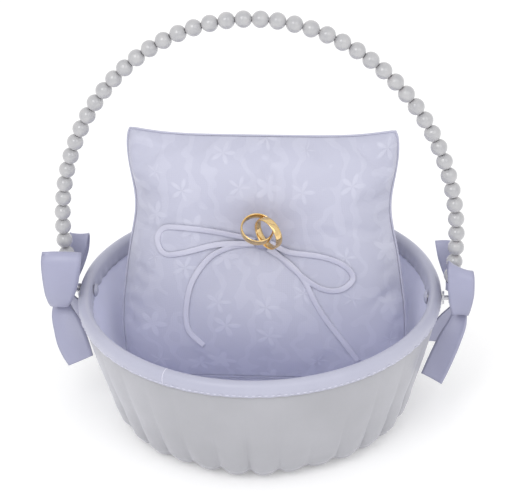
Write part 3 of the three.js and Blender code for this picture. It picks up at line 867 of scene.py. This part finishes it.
def brocade_material():
    """Ivory-lilac brocade: woven flowers and leaves that show by their gloss and slight relief."""
    mat, tree, shader = material("pillow_brocade", (0.6, 0.6, 0.72), 0.4)
    vector = coordinates(tree, uv=True)
    cells = node(tree, "ShaderNodeTexVoronoi", Scale=46.0, Randomness=0.55)
    tree.links.new(vector, cells.inputs["Vector"])
    scaled = tree.nodes.new("ShaderNodeVectorMath")
    scaled.operation = "SCALE"
    scaled.inputs["Scale"].default_value = 46.0
    tree.links.new(vector, scaled.inputs[0])
    local = tree.nodes.new("ShaderNodeVectorMath")
    local.operation = "SUBTRACT"
    tree.links.new(scaled.outputs["Vector"], local.inputs[0])
    centre = tree.nodes.new("ShaderNodeVectorMath")
    centre.operation = "SCALE"
    centre.inputs["Scale"].default_value = 46.0
    tree.links.new(cells.outputs["Position"], centre.inputs[0])
    tree.links.new(centre.outputs["Vector"], local.inputs[1])
    parts = tree.nodes.new("ShaderNodeSeparateXYZ")
    tree.links.new(local.outputs["Vector"], parts.inputs[0])

    def math_node(op, a, b=None):
        made = tree.nodes.new("ShaderNodeMath")
        made.operation = op
        for k, value in enumerate((a, b)):
            if value is None:
                continue
            if isinstance(value, (int, float)):
                made.inputs[k].default_value = value
            else:
                tree.links.new(value, made.inputs[k])
        return made.outputs["Value"]

    angle = math_node("ARCTAN2", parts.outputs["Y"], parts.outputs["X"])
    petals = math_node("MULTIPLY", math_node("COSINE", math_node("MULTIPLY", angle, 5.0)), 0.11)
    reach = math_node("ADD", petals, 0.30)
    inside = math_node("MULTIPLY", math_node("SUBTRACT", reach, cells.outputs["Distance"]), 14.0)
    flower = tree.nodes.new("ShaderNodeClamp")
    tree.links.new(inside, flower.inputs["Value"])
    swirl = node(tree, "ShaderNodeTexWave", Scale=20.0, Distortion=9.0, Detail=1.5)
    swirl.inputs["Detail Scale"].default_value = 3.0
    tree.links.new(vector, swirl.inputs["Vector"])
    vines = tree.nodes.new("ShaderNodeMapRange")
    vines.inputs["From Min"].default_value = 0.62
    vines.inputs["From Max"].default_value = 0.74
    tree.links.new(swirl.outputs["Fac"], vines.inputs["Value"])
    faint_vines = math_node("MULTIPLY", vines.outputs["Result"], 0.45)
    figure = math_node("MAXIMUM", flower.outputs["Result"], faint_vines)
    tree.links.new(ramp(tree, figure, [(0.0, (0.475, 0.48, 0.59)), (1.0, (0.53, 0.535, 0.645))]),
                   shader.inputs["Base Color"])
    rough = tree.nodes.new("ShaderNodeMapRange")
    rough.inputs["To Min"].default_value = 0.55
    rough.inputs["To Max"].default_value = 0.33
    tree.links.new(figure, rough.inputs["Value"])
    tree.links.new(rough.outputs["Result"], shader.inputs["Roughness"])
    threads = weave(tree, vector, 0.0005)
    bump(tree, shader, [(figure, 0.5, 0.00018), (threads, 0.35, 0.00005),
                        (noise(tree, vector, 300, 3), 0.2, 0.0001)])
    shader.inputs["Sheen Weight"].default_value = 0.3
    shader.inputs["Sheen Roughness"].default_value = 0.4
    return mat


pillow_brocade = brocade_material()


def cushion():
    """Front and back covers, the stuffing and the sewn edge. Returns the shape and the front's faces."""
    grid, faces, front_faces = cushion_grid()
    flat, layer = grid[:, :2], grid[:, 2]
    shape = simulate_cushion(flat, layer, faces)
    shape = gathered(fitted(shape), flat, layer)
    uvs = flat * 0.075
    covers = []
    for name, old, chosen in (("pillow_cover_front", "pillow_front", faces[:front_faces]),
                              ("pillow_cover_back", "pillow_back", faces[front_faces:])):
        used = sorted({v for f in chosen for v in f})
        renumber = {v: k for k, v in enumerate(used)}
        cover = smooth_object(name, world(shape[used]), [tuple(renumber[v] for v in f) for f in chosen],
                              "pillow", pillow_brocade, uvs[used])
        thick = cover.modifiers.new("cloth_thickness", "SOLIDIFY")
        thick.thickness = 0.0006
        thick.offset = -1
        soften = cover.modifiers.new("smooth", "SUBSURF")
        soften.levels = soften.render_levels = 1
        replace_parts(cover, old)
        covers.append(cover)
    stuffing = smooth_object("pillow_stuffing", world(shape * np.array([0.965, 0.965, 0.9])), faces, "pillow",
                             moulded_board)
    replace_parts(stuffing, "pillow_filling")
    n = SIDE_CELLS + 1
    around = ([(0, j) for j in range(n)] + [(i, n - 1) for i in range(1, n)]
              + [(n - 1, j) for j in range(n - 2, -1, -1)] + [(i, 0) for i in range(n - 2, 0, -1)])
    rim = [world(shape[[i * n + j]])[0] for i, j in around]
    tube("pillow_edge_seam", rim, 0.00055, "pillow", pillow_brocade, closed=True)
    return shape, faces[:front_faces]


pillow_shape, pillow_front_faces = cushion()
pillow_surface = BVHTree.FromPolygons([Vector(p) for p in pillow_shape], pillow_front_faces)


def on_pillow(x, y, lift):
    """A point above the pillow's front, in its own frame, for a place in millimetres."""
    hit, normal, _, _ = pillow_surface.ray_cast(Vector((x * MM, y * MM, 0.1)), Vector((0, 0, -1)))
    if hit is None:
        hit, normal = Vector((x * MM, y * MM, 0)), Vector((0, 0, 1))
    return hit + Vector((0, 0, lift * MM)), normal


def pillow_ribbon(name, old, route, lifts, twist, width=2.9):
    """A narrow flat ribbon lying on the pillow. route is in mm in the pillow's own frame."""
    raw = catmull([(x, y, 0) for x, y in route], 6)
    lift = np.interp(np.linspace(0, 1, len(raw)), np.linspace(0, 1, len(lifts)), lifts)
    centre, across = [], []
    for k, (x, y, _) in enumerate(raw):
        p, normal = on_pillow(x, y, lift[k])
        q = raw[min(k + 1, len(raw) - 1)] - raw[max(k - 1, 0)]
        along = Vector((q[0], q[1], 0)).normalized()
        side = along.cross(Vector((0, 0, 1))).normalized()
        tilt = math.sin(k / len(raw) * math.pi * 2.3 + twist) * 0.2
        side = (side + Vector((0, 0, tilt))).normalized()
        centre.append(p)
        across.append(side)
    m = PILLOW_FRAME
    centre = smoothed(np.array([tuple(m @ p) for p in centre]), 3)
    across = np.array([tuple(m.to_3x3() @ a) for a in across])
    count = len(centre)
    widths = [width * MM * (1 - 0.25 * math.exp(-k / 3)) for k in range(count)]
    piece, line = ribbon(name, centre, across, widths, "pillow", satin_narrow, thickness=0.0003, cols=7,
                         curl=0.05, rounds=2)
    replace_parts(piece, old)
    return piece


def smoothed(points, times):
    for _ in range(times):
        inner = (points[:-2] + points[2:]) / 2
        points = np.vstack([points[:1], points[1:-1] * 0.5 + inner * 0.5, points[-1:]])
    return points


LEFT_LOOP = [(-2.6, 14.6), (-14.6, 18.4), (-29.4, 21.6), (-42.4, 22.3), (-50, 20.4), (-53, 14.4), (-49, 7.4),
             (-37.4, 9.5), (-21.7, 13.6), (-2.6, 12.6)]
RIGHT_LOOP = [(4.6, 13.6), (14, 9.6), (26, 9), (35.6, 7.4), (44, 3.3), (47.8, -3.3), (41.8, -9), (31.6, -8.6),
              (20, -1.4), (11.3, 5.6), (4.6, 10.6)]
LEFT_TAIL = [(-2.4, 12), (-13.6, 12), (-23.4, 8.4), (-30.2, 1.5), (-35.1, -7), (-37.5, -16.6), (-38.3, -26.8),
             (-36.5, -34.7), (-29.3, -41.9)]
RIGHT_TAIL = [(3.4, 9.8), (13.9, 4.4), (22.5, -4.1), (28.6, -16.2), (35.2, -27.1), (43.4, -38.9), (50.6, -51)]


def pillow_knot():
    low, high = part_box("pillow_ribbon_knot")
    middle = PILLOW_FRAME.inverted() @ ((low + high) / 2)
    surface, _ = on_pillow(middle.x / MM, middle.y / MM, 0)
    middle.z = surface.z + 0.0026
    rows, cols = 22, 32
    verts = []
    for i in range(rows):
        lat = math.pi * i / (rows - 1)
        for j in range(cols):
            a = 2 * math.pi * j / cols
            crease = 1 + 0.09 * math.sin(3 * a + 1.0) * math.sin(lat)
            verts.append(PILLOW_FRAME @ (middle + Vector((
                0.0037 * math.cos(lat),
                0.0028 * math.sin(lat) ** 0.75 * math.cos(a) * crease,
                0.0021 * math.sin(lat) ** 0.75 * math.sin(a) * crease))))
    knot = smooth_object("pillow_bow_knot", verts, grid_faces(rows, cols, wrap_cols=True), "pillow",
                         satin_ribbon)
    bm = bmesh.new()
    bm.from_mesh(knot.data)
    bmesh.ops.remove_doubles(bm, verts=bm.verts, dist=1e-5)
    bmesh.ops.recalc_face_normals(bm, faces=bm.faces)
    bm.to_mesh(knot.data)
    bm.free()
    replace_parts(knot, "pillow_ribbon_knot")


RING_HALF_WIDTH = 0.002


def wedding_ring(name):
    """A gold band with rounded edges, in the place and tilt of its CAD node."""
    points = np.array([v.co for v in frame["nodes"][name].data.vertices], float)
    centre = points.mean(0)
    _, vectors = np.linalg.eigh(np.cov((points - centre).T))
    axis = Vector(vectors[:, 0])
    radial = np.linalg.norm(np.cross(points - centre, np.array(axis)), axis=1)
    outer, inner = radial.max(), radial.min()
    turn = axis.to_track_quat("Z", "Y").to_matrix()
    mid = (outer + inner) / 2
    profile = []
    for k in range(20):
        a = 2 * math.pi * k / 20
        swell = math.copysign(abs(math.cos(a)) ** 0.7, math.cos(a))
        across = math.copysign(abs(math.sin(a)) ** 0.8, math.sin(a))
        profile.append((mid + (outer - inner) / 2 * swell, RING_HALF_WIDTH * across))
    cols = 96
    verts = [Vector(centre) + turn @ Vector((r * math.cos(2 * math.pi * c / cols),
                                             r * math.sin(2 * math.pi * c / cols), z))
             for r, z in profile for c in range(cols)]
    band = outward(smooth_object(f"gold_{name}", verts, grid_faces(20, cols, True, True), "pillow", gold_metal))
    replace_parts(band, name)


def pillow_ties():
    tail_lifts = [1.5, 0.45, 0.4]
    pillow_ribbon("pillow_bow_tail_left", "pillow_ribbon_tail_left", LEFT_TAIL, tail_lifts, 0.2)
    pillow_ribbon("pillow_bow_tail_right", "pillow_ribbon_tail_right", RIGHT_TAIL, tail_lifts, 1.6)
    pillow_ribbon("pillow_bow_loop_left", "pillow_ribbon_loop_left", LEFT_LOOP,
                  [2.2, 1.4, 1, 0.8, 0.7, 0.9, 1.8], 0.9)
    pillow_ribbon("pillow_bow_loop_right", "pillow_ribbon_loop_right", RIGHT_LOOP,
                  [2.2, 1.4, 1, 0.8, 0.7, 1, 1.8], 2.2)
    pillow_knot()
    wedding_ring("ring_left")
    wedding_ring("ring_right")


pillow_ties()


# ---------------------------------------------------------------- carried-over CAD pieces
def finish_cad_nodes():
    looks = {"tub_core": moulded_board, "rim_hoop": steel_metal, "pivot_stud_left": steel_metal,
             "pivot_stud_right": steel_metal, "pivot_washer_left": steel_metal,
             "pivot_washer_right": steel_metal, "handle_eye_left": steel_metal,
             "handle_eye_right": steel_metal}
    for name, look in looks.items():
        data = frame["nodes"][name].data
        data.materials.clear()
        data.materials.append(look)


finish_cad_nodes()


# ---------------------------------------------------------------- floor and light
def studio():
    mat, tree, shader = material("pale_floor", (0.9, 0.9, 0.9), 0.9)
    shader.inputs["Emission Color"].default_value = (1, 1, 1, 1)
    shader.inputs["Emission Strength"].default_value = 0.16
    size = 3.0
    floor = smooth_object("floor", [(-size, -size, -0.0002), (size, -size, -0.0002), (size, size, -0.0002),
                                    (-size, size, -0.0002)], [(0, 1, 2, 3)], material=mat)
    world_data = bpy.data.worlds.new("studio")
    world_data.use_nodes = True
    background = world_data.node_tree.nodes["Background"]
    background.inputs["Color"].default_value = (1.0, 1.0, 1.0, 1)
    background.inputs["Strength"].default_value = 0.95
    scene.world = world_data

    def lamp(name, place, aim, size, power):
        data = bpy.data.lights.new(name, "AREA")
        data.shape = "DISK"
        data.size = size
        data.energy = power
        obj = bpy.data.objects.new(name, data)
        scene.collection.objects.link(obj)
        obj.location = place
        obj.rotation_euler = (Vector(aim) - Vector(place)).to_track_quat("-Z", "Y").to_euler()

    lamp("key_light", (-0.32, -0.8, 0.95), (0, 0, 0.08), 0.6, 3.4)
    lamp("fill_light", (0.6, -0.8, 0.9), (0, 0, 0.08), 0.8, 2)
    scene.view_settings.view_transform = "Standard"


studio()
